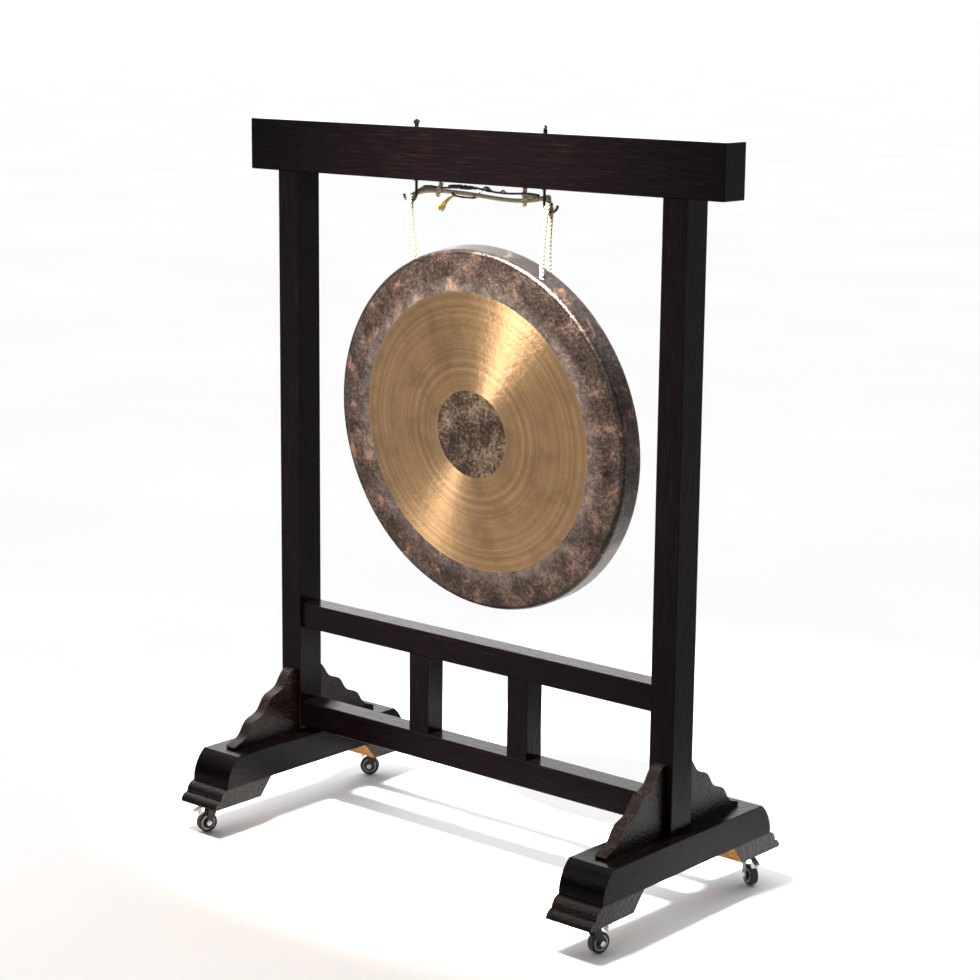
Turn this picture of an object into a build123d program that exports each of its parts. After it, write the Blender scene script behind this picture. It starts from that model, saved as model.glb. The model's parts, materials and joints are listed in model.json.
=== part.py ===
from build123d import *
import os
from math import asin, atan, atan2, cos, degrees, hypot, pi, radians, sin, sqrt, tan

# A tam-tam on its floor stand: a bronze gong slung by a rope from two hook bolts, under the beam
# of a lacquered wooden frame whose two feet run on swivel casters.
# +X is the player's right, +Y the back, +Z up; the origin is on the floor, under the beam's middle.
os.makedirs("parts", exist_ok=True)

# ---- frame ------------------------------------------------------------------------------------
stand_height = 1600.0       # floor to the top of the beam
beam_length = 1300.0
beam_height = 113.0
beam_depth = 70.0
post_spacing = 1068.0       # between the posts' middles
post_width = 60.0
post_depth = 70.0
middle_rail_top = 496.0
middle_rail_height = 57.5
middle_rail_depth = 52.0
bottom_rail_top = 260.5
bottom_rail_height = 60.0
bottom_rail_depth = 56.0
stile_spacing = 285.0
stile_width = 56.5
stile_depth = 51.0
tenon_length = 26.0
tenon_shoulder = 12.0       # what a tenon leaves of its timber on every side
glue_gap = 0.1              # all round a tenon in its mortise
arris = 1.5                 # worn-off edge of the planed timbers

# ---- feet and brackets ------------------------------------------------------------------------
foot_top = 184.5
foot_height = 69.0
foot_width = 113.0
foot_flat = 517.0           # flat length of the foot's upper face
foot_length = 586.0         # over the rounded ends
toe_height = 41.0
toe_length = 663.5          # over the tips of the toe blocks
toe_opening = 314.0         # between the toe blocks, up against the foot
toe_slant = 33.5            # how far a toe block's bare inner end slopes in
toe_step = 18.0             # reach of the lower of its two rounded mouldings
toe_step_height = 18.5
bracket_height = 153.0
bracket_reach = 194.0
bracket_thickness = 28.0
bracket_toe = 1.5           # height left at the bracket's thin end
bracket_waves = 3.25
bracket_wave = 4.6          # half the depth of a wave

# ---- casters ----------------------------------------------------------------------------------
caster_height = foot_top - foot_height - toe_height
caster_outset = 13.0        # the casters stand this much wider than the posts
caster_y = 272.0
wheel_diameter = 45.0
wheel_width = 18.0
tyre_shoulder = 3.5
hub_diameter = 33.0
hub_rim = 2.5               # raised ring round each face of the hub
hub_dish = 3.0
hub_boss = 13.0
caster_trail = 18.0
caster_plate_size = 42.0
caster_plate_thickness = 2.5
caster_race_height = 3.0
caster_race_diameter = 25.0
fork_web_diameter = 31.0
fork_sheet = 2.0
fork_side_gap = 1.0
axle_diameter = 6.0
axle_flats = 11.0
axle_head = 4.0
axle_end = 2.0              # thread showing past the nut
kingpin_diameter = 7.0
kingpin_head = 12.0
kingpin_head_height = 3.0
kingpin_upset = 1.5         # riveted over above the plate
kingpin_room = 0.5
running_gap = 0.1           # between a pin and what turns on it
bearing_gap = 0.3           # between the fork's web and the race above it
screw_diameter = 3.6
screw_head = 7.0
screw_pitch = 30.0
screw_length = 18.0
brake_pivot_x = 10.0        # from the kingpin towards the wheel
brake_pivot_drop = 6.0      # below the fork's web
brake_pin = 4.0
brake_shoe_gap = 4.5        # clear of the tyre before the pedal is pressed
brake_reach = 52.0          # kingpin to the pedal's tip
brake_width = 14.0
brake_shoe_angle = 50.0     # where it meets the tyre, above level
# which way each wheel trails from its kingpin as the stand is left standing
casters = (("front_left", -1, -1, -110.0), ("front_right", 1, -1, 75.0),
           ("rear_left", -1, 1, -144.0), ("rear_right", 1, 1, -28.0))

# ---- hooks ------------------------------------------------------------------------------------
hook_spacing = 355.0
hook_wire = 6.0
hook_bend = 18.0            # radius of the hook to the middle of its wire
hook_drop = 49.0            # beam to the lowest point of the wire's middle
hook_sweep = 170.0          # how far round the hook is bent
hook_above = 14.0
nut_flats = 10.0
nut_height = 4.0
wing_span = 22.0
wing_height = 12.0
wing_hub = 9.0
wing_tip = 2.8              # radius of a wing's rounded tip
wing_sheet = 2.5

# ---- gong -------------------------------------------------------------------------------------
gong_diameter = 800.0       # over the open edge of the rim
gong_flare = 3.0            # the rim widens by this on its way back
gong_rim_depth = 54.0
gong_face_wall = 3.0
gong_rim_wall = 4.0
gong_crown = 18.0           # how far the middle of the face stands forward
gong_edge_radius = 10.0
rope_hole_room = 5.0        # the holes are drilled this much larger than the rope
rope_hole_setback = 18.0    # behind the face's edge
rope_hole_spacing = 376.0

# ---- rope -------------------------------------------------------------------------------------
rope_diameter = 10.0
rope_clearance = 1.2        # rope to hook wire and to the rim's open edge
rope_slack_under_rim = 5.0
rim_bend = 7.0              # radius to the rope's middle under the rim
sling_drop = 132.5          # hook wire to the middle of the rim's wall
bridge_lift = 24.0          # bridge rope above the hook wire
strand_diameter = 4.0
binding_diameter = 5.0


def save(piece, name):
    piece.part.label = name
    export_step(piece.part, f"parts/{name}.step")


# ==== posts, beam and rails ====================================================================
beam_underside = stand_height - beam_height
caster_x = post_spacing / 2 + caster_outset
rope_hole_diameter = rope_diameter + rope_hole_room
post_x = post_spacing / 2
stile_x = stile_spacing / 2
post_length = beam_underside - foot_top
middle_rail_underside = middle_rail_top - middle_rail_height
bottom_rail_underside = bottom_rail_top - bottom_rail_height
rail_length = post_spacing - post_width
hook_x = hook_spacing / 2
hook_bore = hook_wire + 0.4
post_tenon = (post_width - 2 * tenon_shoulder, post_depth - 2 * tenon_shoulder)
stile_tenon = (stile_width - 2 * tenon_shoulder, stile_depth - 2 * tenon_shoulder)
sides = (("left", -1), ("right", 1))


def mortise(size):
    """Cuts the pocket for a tenon of that size into the part under construction."""
    Rectangle(size[0] + 2 * glue_gap, size[1] + 2 * glue_gap)


with BuildPart() as top_beam:
    with BuildSketch(Plane.XY.offset(beam_underside)):
        Rectangle(beam_length, beam_depth)
    extrude(amount=beam_height)
    chamfer(top_beam.edges(), arris)
    with BuildSketch(Plane.XY.offset(beam_underside)):
        with Locations((-post_x, 0), (post_x, 0)):
            mortise(post_tenon)
    extrude(amount=tenon_length + glue_gap, mode=Mode.SUBTRACT)
    with BuildSketch(Plane.XY.offset(beam_underside)):
        with Locations((-hook_x, 0), (hook_x, 0)):
            Circle(hook_bore / 2)
    extrude(amount=beam_height, mode=Mode.SUBTRACT)
save(top_beam, "top_beam")

rails = (("middle_rail", middle_rail_underside, middle_rail_height, middle_rail_depth),
         ("bottom_rail", bottom_rail_underside, bottom_rail_height, bottom_rail_depth))

for name, side in sides:
    with BuildPart() as post:
        with BuildSketch(Plane.XY.offset(foot_top)):
            with Locations((side * post_x, 0)):
                Rectangle(post_width, post_depth)
        extrude(amount=post_length)
        chamfer(post.edges().filter_by(Axis.Z), arris)
        with BuildSketch(Plane.XY.offset(foot_top - tenon_length)):
            with Locations((side * post_x, 0)):
                Rectangle(*post_tenon)
        extrude(amount=post_length + 2 * tenon_length)
        for _, underside, height, depth in rails:
            with BuildSketch(Plane.YZ.offset(side * (post_x - post_width / 2))):
                with Locations((0, underside + height / 2)):
                    mortise((depth - 2 * tenon_shoulder, height - 2 * tenon_shoulder))
            extrude(amount=side * (tenon_length + glue_gap), mode=Mode.SUBTRACT)
    save(post, f"post_{name}")

for name, underside, height, depth in rails:
    stile_face = underside if name == "middle_rail" else underside + height
    inward = 1 if name == "middle_rail" else -1
    with BuildPart() as rail:
        with BuildSketch(Plane.YZ.offset(-rail_length / 2)):
            with Locations((0, underside + height / 2)):
                Rectangle(depth, height)
        extrude(amount=rail_length)
        chamfer(rail.edges().filter_by(Axis.X), arris)
        with BuildSketch(Plane.YZ.offset(-rail_length / 2 - tenon_length)):
            with Locations((0, underside + height / 2)):
                Rectangle(depth - 2 * tenon_shoulder, height - 2 * tenon_shoulder)
        extrude(amount=rail_length + 2 * tenon_length)
        with BuildSketch(Plane.XY.offset(stile_face)):
            with Locations((-stile_x, 0), (stile_x, 0)):
                mortise(stile_tenon)
        extrude(amount=inward * (tenon_length + glue_gap), mode=Mode.SUBTRACT)
    save(rail, name)

for name, side in sides:
    with BuildPart() as stile:
        with BuildSketch(Plane.XY.offset(bottom_rail_top)):
            with Locations((side * stile_x, 0)):
                Rectangle(stile_width, stile_depth)
        extrude(amount=middle_rail_underside - bottom_rail_top)
        chamfer(stile.edges().filter_by(Axis.Z), arris)
        with BuildSketch(Plane.XY.offset(bottom_rail_top - tenon_length)):
            with Locations((side * stile_x, 0)):
                Rectangle(*stile_tenon)
        extrude(amount=middle_rail_underside - bottom_rail_top + 2 * tenon_length)
    save(stile, f"stile_{name}")

# ==== feet, toe blocks and brackets ============================================================
foot_underside = foot_top - foot_height
toe_underside = foot_underside - toe_height
step_reach = toe_length / 2 - toe_step
post_face = post_depth / 2
slope = hypot(bracket_reach, bracket_height - bracket_toe)
run = Vector(bracket_reach, bracket_toe - bracket_height) / slope
out = Vector(-run.Y, run.X)

for name, side in sides:
    with BuildPart() as foot:
        with BuildSketch(Plane.YZ.offset(side * post_x - foot_width / 2)):
            with BuildLine():
                Line((-foot_length / 2, foot_underside), (foot_length / 2, foot_underside))
                TangentArc((foot_length / 2, foot_underside), (foot_flat / 2, foot_top), tangent=(0, 1))
                Line((foot_flat / 2, foot_top), (-foot_flat / 2, foot_top))
                TangentArc((-foot_length / 2, foot_underside), (-foot_flat / 2, foot_top), tangent=(0, 1))
            make_face()
        extrude(amount=foot_width)
        chamfer(foot.edges().filter_by(Axis.Y).group_by(Axis.Z)[-1], arris)
        with BuildSketch(Plane.XY.offset(foot_top)):
            with Locations((side * post_x, 0)):
                mortise(post_tenon)
        extrude(amount=-(tenon_length + glue_gap), mode=Mode.SUBTRACT)
    save(foot, f"foot_{name}")

for name, side, end, _ in casters:
    with BuildPart() as toe_block:
        with BuildSketch(Plane.YZ.offset(side * post_x - foot_width / 2)):
            with BuildLine():
                Polyline((end * foot_length / 2, foot_underside), (end * toe_opening / 2, foot_underside),
                         (end * (toe_opening / 2 + toe_slant), toe_underside),
                         (end * toe_length / 2, toe_underside))
                TangentArc((end * toe_length / 2, toe_underside),
                           (end * step_reach, toe_underside + toe_step_height), tangent=(0, 1))
                TangentArc((end * step_reach, toe_underside + toe_step_height),
                           (end * foot_length / 2, foot_underside), tangent=(0, 1))
            make_face()
        extrude(amount=foot_width)
        with BuildSketch(Plane.XY.offset(toe_underside)):
            with Locations((side * caster_x, end * caster_y)):
                with GridLocations(screw_pitch, screw_pitch, 2, 2):
                    Circle(screw_diameter / 2 + glue_gap)
        extrude(amount=screw_length, mode=Mode.SUBTRACT)
        with BuildSketch(Plane.XY.offset(toe_underside)):
            with Locations((side * caster_x, end * caster_y)):
                Circle(kingpin_head / 2 + kingpin_room)
        extrude(amount=kingpin_upset + kingpin_room, mode=Mode.SUBTRACT)
    save(toe_block, f"toe_block_{name}")

    with BuildPart() as bracket:
        with BuildSketch(Plane.YZ.offset(side * post_x - bracket_thickness / 2)):
            with BuildLine():
                wave_points = []
                quarters = round(4 * bracket_waves)
                for i in range(quarters + 1):
                    swell = bracket_wave * sin(pi / 2 * i)
                    along = slope * i / quarters
                    point = run * along + out * swell
                    wave_points.append((end * (post_face + point.X), foot_top + bracket_height + point.Y))
                Spline(*wave_points)
                Polyline(wave_points[-1], (end * (post_face + bracket_reach), foot_top),
                         (end * post_face, foot_top), wave_points[0])
            make_face()
        extrude(amount=bracket_thickness)
    save(bracket, f"bracket_{name}")

# ==== hook bolts ===============================================================================
hook_wire_z = beam_underside - hook_drop
hook_centre_z = hook_wire_z + hook_bend
rope_x = hook_x + hook_bend

for name, side in sides:
    with BuildPart() as hook:
        with BuildLine(Plane.XZ) as hook_line:
            shank = Line((side * hook_x, stand_height + hook_above), (side * hook_x, hook_centre_z))
            turn = radians(180 - hook_sweep)
            TangentArc(shank @ 1, (side * (rope_x + hook_bend * cos(turn)),
                                   hook_centre_z - hook_bend * sin(turn)), tangent=(0, -1))
        with BuildSketch(Plane.XY.offset(stand_height + hook_above)):
            with Locations((side * hook_x, 0)):
                Circle(hook_wire / 2)
        sweep(path=hook_line.wires()[0])
    save(hook, f"hook_bolt_{name}")

with BuildPart() as hook_nuts:
    with BuildSketch(Plane.XY.offset(beam_underside)):
        with Locations((-hook_x, 0), (hook_x, 0)):
            RegularPolygon(nut_flats / 2, 6, major_radius=False)
            Circle(hook_bore / 2, mode=Mode.SUBTRACT)
    extrude(amount=-nut_height)
save(hook_nuts, "hook_nuts")

wing_turn = {"left": 100.0, "right": 118.0}
with BuildPart() as wing_nuts:
    for name, side in sides:
        hub_plane = Plane((side * hook_x, 0, stand_height), x_dir=Vector(1, 0, 0).rotate(Axis.Z, wing_turn[name]))
        with BuildSketch(hub_plane):
            Circle(wing_hub / 2)
        extrude(amount=wing_height * 0.45)
        wing_plane = Plane(hub_plane.origin, x_dir=hub_plane.x_dir, z_dir=-hub_plane.y_dir)
        for wing in (-1, 1):
            with BuildSketch(wing_plane.offset(-wing_sheet / 2)):
                with Locations((wing * wing_hub * 0.35, wing_height * 0.24)):
                    Rectangle(wing_hub * 0.2, wing_height * 0.36)
                with Locations((wing * (wing_span / 2 - wing_tip), wing_height - wing_tip)):
                    Circle(wing_tip)
                make_hull()
            extrude(amount=wing_sheet)
        with BuildSketch(hub_plane):
            Circle(hook_bore / 2)
        extrude(amount=wing_height, mode=Mode.SUBTRACT)
save(wing_nuts, "wing_nuts")

# ==== gong =====================================================================================
rim_front = gong_diameter / 2 - gong_flare
rope_radius = rope_diameter / 2
hang_setback = (rope_hole_setback + gong_rim_depth) / 2
hang_radius = rim_front + gong_flare * hang_setback / gong_rim_depth - gong_rim_wall / 2
hole_x = rope_hole_spacing / 2
hang_height = sqrt(hang_radius ** 2 - hole_x ** 2)
hole_angle = asin(hole_x / hang_radius)

# The bell about its own axis: +Y runs back from the edge of the face, +Z up to the top of the rim.
with BuildPart() as bell:
    with BuildSketch(Plane.YZ) as bell_section:
        with BuildLine():
            TangentArc((-gong_crown, 0), (0, rim_front), tangent=(0, 1))
            Polyline((0, rim_front), (gong_rim_depth, rim_front + gong_flare),
                     (gong_rim_depth, rim_front + gong_flare - gong_rim_wall),
                     (gong_face_wall, rim_front - gong_rim_wall))
            TangentArc((gong_face_wall - gong_crown, 0), (gong_face_wall, rim_front - gong_rim_wall),
                       tangent=(0, 1))
            Line((gong_face_wall - gong_crown, 0), (-gong_crown, 0))
        make_face()
        face_corner = bell_section.vertices().sort_by_distance((0, rim_front, 0))[0]
        fillet(face_corner, gong_edge_radius)
        inner_corner = bell_section.vertices().sort_by_distance((gong_face_wall, rim_front - gong_rim_wall, 0))[0]
        fillet(inner_corner, gong_edge_radius - gong_face_wall)
        fillet(bell_section.vertices().group_by(Axis.X)[-1], gong_rim_wall * 0.3)
    revolve(axis=Axis.Y)
    for side in (-1, 1):
        with BuildSketch(Plane((0, rope_hole_setback, 0), z_dir=(side * sin(hole_angle), 0, cos(hole_angle)))):
            Circle(rope_hole_diameter / 2)
        extrude(amount=gong_diameter, mode=Mode.SUBTRACT)

# It leans until its weight is plumb below the line on which the rope carries it.
bell_weight = bell.part.center(CenterOf.MASS)
gong_lean = atan2(hang_setback - bell_weight.Y, hang_height - bell_weight.Z)
gong_back = Vector(0, cos(gong_lean), sin(gong_lean))
gong_up = Vector(0, -sin(gong_lean), cos(gong_lean))
hang_point = Vector(0, 0, hook_wire_z - sling_drop)
gong_plane = Plane(hang_point - gong_back * hang_setback - gong_up * hang_height,
                   x_dir=(1, 0, 0), z_dir=gong_up)

with BuildPart() as gong:
    add(gong_plane.from_local_coords(bell.part))
save(gong, "gong")
print("gong leans", round(degrees(gong_lean), 2), "degrees; weight at", gong.part.center(CenterOf.MASS),
      "; hangs on", hang_point, "; plane", gong_plane.origin)

# ==== rope =====================================================================================
# One rope makes the whole sling. Each leg is doubled: over the hook, down in front through the hole
# in the rim, under the rim and up again behind its open edge, drawn in a little towards the holes.
# From hook to hook it runs behind both shanks, and near each hook its end is hitched round itself.
saddle_radius = hook_wire / 2 + rope_radius + rope_clearance
saddle_half = saddle_radius * 1.14
saddle_top = hook_wire_z + saddle_radius
under_rim = hang_height - (gong_rim_wall / 2 + rope_radius + rope_slack_under_rim) / cos(hole_angle)
rear_setback = gong_rim_depth + rope_radius + rope_clearance


def leg_point(side, y, z):
    """A point in the plane of a leg, which leans from its hook in to its hole."""
    drawn_in = (saddle_top - z) / (saddle_top - hang_point.Z)
    return Vector(side * (rope_x + (hole_x - rope_x) * drawn_in), y, z)


for name, side in sides:
    in_hole = gong_plane.from_local_coords(Vector(0, rope_hole_setback, hang_height))
    behind_edge = gong_plane.from_local_coords(Vector(0, rear_setback, under_rim))
    fall = (saddle_top - behind_edge.Z) / (saddle_top - in_hole.Z)
    leg_corners = (leg_point(side, -saddle_half, saddle_top), leg_point(side, saddle_half, saddle_top),
                   leg_point(side, behind_edge.Y, behind_edge.Z),
                   leg_point(side, -saddle_half + (in_hole.Y + saddle_half) * fall, behind_edge.Z))
    with BuildPart() as leg:
        with BuildLine() as leg_line:
            FilletPolyline(*leg_corners, radius=[saddle_radius] * 2 + [rim_bend] * 2, close=True)
        leg_path = leg_line.wires()[0]
        with BuildSketch(Plane(leg_path @ 0, z_dir=leg_path % 0)):
            Circle(rope_radius)
        sweep(path=leg_path)
    save(leg, f"rope_leg_{name}")
    print("leg", name, "volume over section x length",
          round(leg.part.volume / (pi * rope_radius ** 2 * leg_path.length), 4), "length", leg_path.length)



def lay_cord(name, diameter, points):
    """A cord laid along those points, every bend as wide as its two runs allow."""
    corners = [Vector(*point) for point in points]
    bends = []
    for before, at, after in zip(corners, corners[1:], corners[2:]):
        turn = (at - before).get_angle(after - at)
        shorter = min((at - before).length, (after - at).length)
        bends.append(0.45 * shorter / tan(radians(turn / 2)))
    with BuildPart() as cord:
        with BuildLine() as cord_line:
            FilletPolyline(*corners, radius=bends)
        cord_path = cord_line.wires()[0]
        with BuildSketch(Plane(cord_path @ 0, z_dir=cord_path % 0)):
            Circle(diameter / 2)
        sweep(path=cord_path)
    save(cord, name)
    print(name, "length", round(cord_path.length, 1), "bends in diameters",
          [round(bend / diameter, 1) for bend in bends], "volume over section x length",
          round(cord.part.volume / (pi * diameter ** 2 / 4 * cord_path.length), 4))
    return cord.part


bridge_y = hook_wire / 2 + rope_radius + rope_clearance
bridge_z = hook_wire_z + bridge_lift
bridge = lay_cord("rope_bridge", rope_diameter,
                  ((-188, bridge_y, bridge_z - 3), (-150, bridge_y + 0.3, bridge_z + 0.5),
                   (-104, bridge_y, bridge_z + 2), (-56, bridge_y - 0.4, bridge_z + 1),
                   (-10, bridge_y + 0.2, bridge_z - 1.5), (38, bridge_y, bridge_z - 5),
                   (84, bridge_y - 0.3, bridge_z - 7), (126, bridge_y, bridge_z - 5),
                   (158, bridge_y + 0.3, bridge_z - 1.5), (188, bridge_y, bridge_z)))

# The two hitches of the rope's ends round the bridge, each with its end standing up out of it; a
# strand that has come unlaid and hangs; and a thin dark cord wound along the top, with its slack in
# a tangle.
hitch_parts = []
for middle, reach, swell, slope_along in ((Vector(-112, bridge_y, bridge_z + 1.5), 12.5, 8.5, 0.02),
                                          (Vector(121, bridge_y, bridge_z - 5), 17, 10, 0.055)):
    with BuildPart() as hitch:
        with BuildSketch(Plane(middle, x_dir=(1, 0, 0), z_dir=(0, -1, 0))):
            Ellipse(reach, swell)
            with Locations((0, -swell)):
                Rectangle(2 * reach, 2 * swell, mode=Mode.SUBTRACT)
        revolve(axis=Axis(middle, (1, 0, 0)))
        with BuildSketch(Plane(middle, z_dir=(1, 0, slope_along))):
            Circle(rope_radius + 0.8)
        extrude(amount=reach + 5, both=True, mode=Mode.SUBTRACT)
        with BuildSketch(Plane(middle + Vector(2, 0, swell - 2), z_dir=(0, 0, 1))):
            Circle(rope_radius * 0.8)
        extrude(amount=9)
    hitch_parts.append(hitch.part)
with BuildPart() as hitches:
    add(hitch_parts)
save(hitches, "rope_knot")

lay_cord("rope_tail", strand_diameter,
         ((-76, bridge_y - 7.6, bridge_z - 8), (-88, bridge_y - 7.8, bridge_z - 12.5),
          (-99, bridge_y - 8.4, bridge_z - 20), (-106, bridge_y - 8.2, bridge_z - 28),
          (-114, bridge_y - 7.7, bridge_z - 33), (-124, bridge_y - 7.6, bridge_z - 34.5)))
lay_cord("binding_cord", binding_diameter,
         ((-165, bridge_y + 1.2, bridge_z + 9), (-131, bridge_y - 9.6, bridge_z + 10),
          (-98, bridge_y - 9.2, bridge_z + 9), (-67, bridge_y - 3.2, bridge_z + 12.5),
          (-33, bridge_y + 0.6, bridge_z + 14.5), (-1, bridge_y + 0.2, bridge_z + 12),
          (29, bridge_y + 0.9, bridge_z + 8.3), (61, bridge_y - 0.5, bridge_z + 7.6),
          (91, bridge_y - 8.8, bridge_z + 9), (123, bridge_y - 14, bridge_z + 9.8),
          (146, bridge_y - 14.5, bridge_z + 11), (171, bridge_y - 16.6, bridge_z + 9.5)))

tangle_middle = Vector(-43, bridge_y - 11.2, bridge_z + 11.8)
with BuildPart() as tangle:
    with BuildSketch(Plane(tangle_middle, x_dir=(1, 0, 0), z_dir=(0, -1, 0))):
        Ellipse(31, 6.4)
        with Locations((0, -6.4)):
            Rectangle(62, 12.8, mode=Mode.SUBTRACT)
    revolve(axis=Axis(tangle_middle, (1, 0, 0)))
save(tangle, "cord_tangle")

# ==== casters ==================================================================================
race_underside = caster_height - caster_plate_thickness - caster_race_height
web_top = race_underside - bearing_gap
web_underside = web_top - fork_sheet
axle_z = wheel_diameter / 2
leg_inside = wheel_width / 2 + fork_side_gap
leg_outside = leg_inside + fork_sheet
hub_half = leg_inside - bearing_gap
dish_half = wheel_width / 2 - hub_dish
rim_half = wheel_width / 2 - 0.4
brake_pivot_z = web_underside - brake_pivot_drop
shoe_reach = axle_z + brake_shoe_gap
shoe = Vector(caster_trail, axle_z) + Vector(shoe_reach, 0).rotate(Axis.Z, brake_shoe_angle)

for name, side, end, trail in casters:
    # local x trails from the kingpin, local y lies along the axle
    swivel = Plane((side * caster_x, end * caster_y, 0), x_dir=Vector(1, 0, 0).rotate(Axis.Z, trail))

    with BuildPart() as plate:
        with BuildSketch(Plane.XY.offset(caster_height)):
            with Locations((side * caster_x, end * caster_y)):
                RectangleRounded(caster_plate_size, caster_plate_size, 4)
        extrude(amount=-caster_plate_thickness)
        with BuildSketch(Plane.XY.offset(race_underside)):
            with Locations((side * caster_x, end * caster_y)):
                Circle(caster_race_diameter / 2)
        extrude(amount=caster_race_height)
        chamfer(plate.edges().filter_by(GeomType.CIRCLE).group_by(Axis.Z)[0], 1)
        with BuildSketch(Plane.XY.offset(race_underside)):
            with Locations((side * caster_x, end * caster_y)):
                Circle(kingpin_diameter / 2)
                with GridLocations(screw_pitch, screw_pitch, 2, 2):
                    Circle(screw_diameter / 2)
        extrude(amount=caster_race_height + caster_plate_thickness, mode=Mode.SUBTRACT)
    save(plate, f"caster_plate_{name}")

    with BuildPart() as fork:
        with BuildSketch(swivel.offset(web_underside)):
            Circle(fork_web_diameter / 2)
        extrude(amount=fork_sheet)
        for leg_face in (leg_outside, -leg_inside):
            leg_origin = swivel.from_local_coords(Vector(0, leg_face, 0))
            with BuildSketch(Plane(leg_origin, x_dir=swivel.x_dir, z_dir=-swivel.y_dir)):
                with Locations((0, web_top - fork_sheet)):
                    Rectangle(18, 2 * fork_sheet)
                with Locations((brake_pivot_x, brake_pivot_z)):
                    Circle(brake_pin / 2 + 2.5)
                with Locations((caster_trail, axle_z)):
                    Circle(axle_flats / 2 + 1.5)
                make_hull()
                with Locations((brake_pivot_x, brake_pivot_z)):
                    Circle(brake_pin / 2 + running_gap, mode=Mode.SUBTRACT)
                with Locations((caster_trail, axle_z)):
                    Circle(axle_diameter / 2, mode=Mode.SUBTRACT)
            extrude(amount=fork_sheet)
        with BuildSketch(swivel.offset(web_underside)):
            Circle(kingpin_diameter / 2 + running_gap)
        extrude(amount=fork_sheet, mode=Mode.SUBTRACT)
    save(fork, f"caster_fork_{name}")

    axle_centre = swivel.from_local_coords(Vector(caster_trail, 0, axle_z))
    axle = Axis(axle_centre, swivel.y_dir)
    wheel_section = Plane(axle_centre, x_dir=swivel.y_dir, z_dir=swivel.y_dir.cross(Vector(0, 0, 1)))
    with BuildPart() as wheel:
        with BuildSketch(wheel_section):
            with BuildLine():
                bore = axle_diameter / 2 + running_gap
                Polyline((0, bore), (hub_half, bore), (hub_half, hub_boss / 2), (dish_half, hub_boss / 2 + 1),
                         (dish_half, hub_diameter / 2 - hub_rim - 1), (rim_half, hub_diameter / 2 - hub_rim),
                         (rim_half, hub_diameter / 2), (0, hub_diameter / 2), (0, bore))
            make_face()
            mirror(about=Plane.YZ)
        revolve(axis=axle)
    save(wheel, f"wheel_hub_{name}")

    with BuildPart() as tyre:
        with BuildSketch(wheel_section):
            with Locations((0, (wheel_diameter + hub_diameter) / 4)):
                tread = Rectangle(wheel_width, (wheel_diameter - hub_diameter) / 2)
            fillet(tread.vertices().group_by(Axis.Y)[-1], tyre_shoulder)
        revolve(axis=axle)
    save(tyre, f"tyre_{name}")

    bolt_plane = Plane(axle_centre, x_dir=swivel.x_dir, z_dir=swivel.y_dir)
    with BuildPart() as axle_bolt:
        with BuildSketch(bolt_plane.offset(-leg_outside)):
            RegularPolygon(axle_flats / 2, 6, major_radius=False)
        extrude(amount=-axle_head)
        with BuildSketch(bolt_plane.offset(-leg_outside)):
            Circle(axle_diameter / 2)
        extrude(amount=2 * leg_outside + axle_head + axle_end)
    save(axle_bolt, f"axle_bolt_{name}")

    with BuildPart() as axle_nut:
        with BuildSketch(bolt_plane.offset(leg_outside)):
            RegularPolygon(axle_flats / 2, 6, major_radius=False)
            Circle(axle_diameter / 2, mode=Mode.SUBTRACT)
        extrude(amount=axle_head)
    save(axle_nut, f"axle_nut_{name}")

    pedal_origin = swivel.from_local_coords(Vector(0, brake_width / 2, 0))
    with BuildPart() as pedal:
        with BuildSketch(Plane(pedal_origin, x_dir=swivel.x_dir, z_dir=-swivel.y_dir)):
            with BuildLine():
                Polyline((brake_pivot_x, brake_pivot_z), (brake_pivot_x + 16, brake_pivot_z + 0.8),
                         (brake_reach - 14, brake_pivot_z - 2.7), (brake_reach - 1, brake_pivot_z - 8))
            trace(line_width=fork_sheet)
            with BuildLine():
                Line((shoe.X - 2, shoe.Y - 2), (shoe.X + 1, brake_pivot_z - 1.5))
            trace(line_width=6)
            with Locations((brake_pivot_x, brake_pivot_z)):
                Circle(brake_pin / 2 + 2)
            with Locations((caster_trail, axle_z)):
                Circle(shoe_reach, mode=Mode.SUBTRACT)
        extrude(amount=brake_width)
        pin_origin = swivel.from_local_coords(Vector(brake_pivot_x, -leg_outside, brake_pivot_z))
        with BuildSketch(Plane(pin_origin, x_dir=swivel.x_dir, z_dir=swivel.y_dir)):
            Circle(brake_pin / 2)
        extrude(amount=2 * leg_outside)
    save(pedal, f"brake_pedal_{name}")
    print(name, "axle", axle_centre, "direction", swivel.y_dir, "brake pin",
          swivel.from_local_coords(Vector(brake_pivot_x, 0, brake_pivot_z)))

caster_places = [(side * caster_x, end * caster_y) for _, side, end, _ in casters]
with BuildPart() as kingpins:
    with BuildSketch(Plane.XY.offset(web_underside - bearing_gap)):
        with Locations(*caster_places):
            Circle(kingpin_head / 2)
    extrude(amount=-kingpin_head_height)
    with BuildSketch(Plane.XY.offset(web_underside - bearing_gap)):
        with Locations(*caster_places):
            Circle(kingpin_diameter / 2)
    extrude(amount=caster_height + kingpin_upset - web_underside + bearing_gap)
    with BuildSketch(Plane.XY.offset(caster_height)):
        with Locations(*caster_places):
            Circle(kingpin_head / 2)
    extrude(amount=kingpin_upset)
save(kingpins, "kingpins")

with BuildPart() as caster_screws:
    plate_underside = caster_height - caster_plate_thickness
    for height, diameter in ((screw_length, screw_diameter), (-screw_diameter / 2, screw_head)):
        with BuildSketch(Plane.XY.offset(plate_underside)):
            for place in caster_places:
                with Locations(place):
                    with GridLocations(screw_pitch, screw_pitch, 2, 2):
                        Circle(diameter / 2)
        extrude(amount=height)
save(caster_screws, "caster_screws")
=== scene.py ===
import json
import math
import random

import bpy
import bmesh
from mathutils import Matrix, Vector, noise


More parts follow.
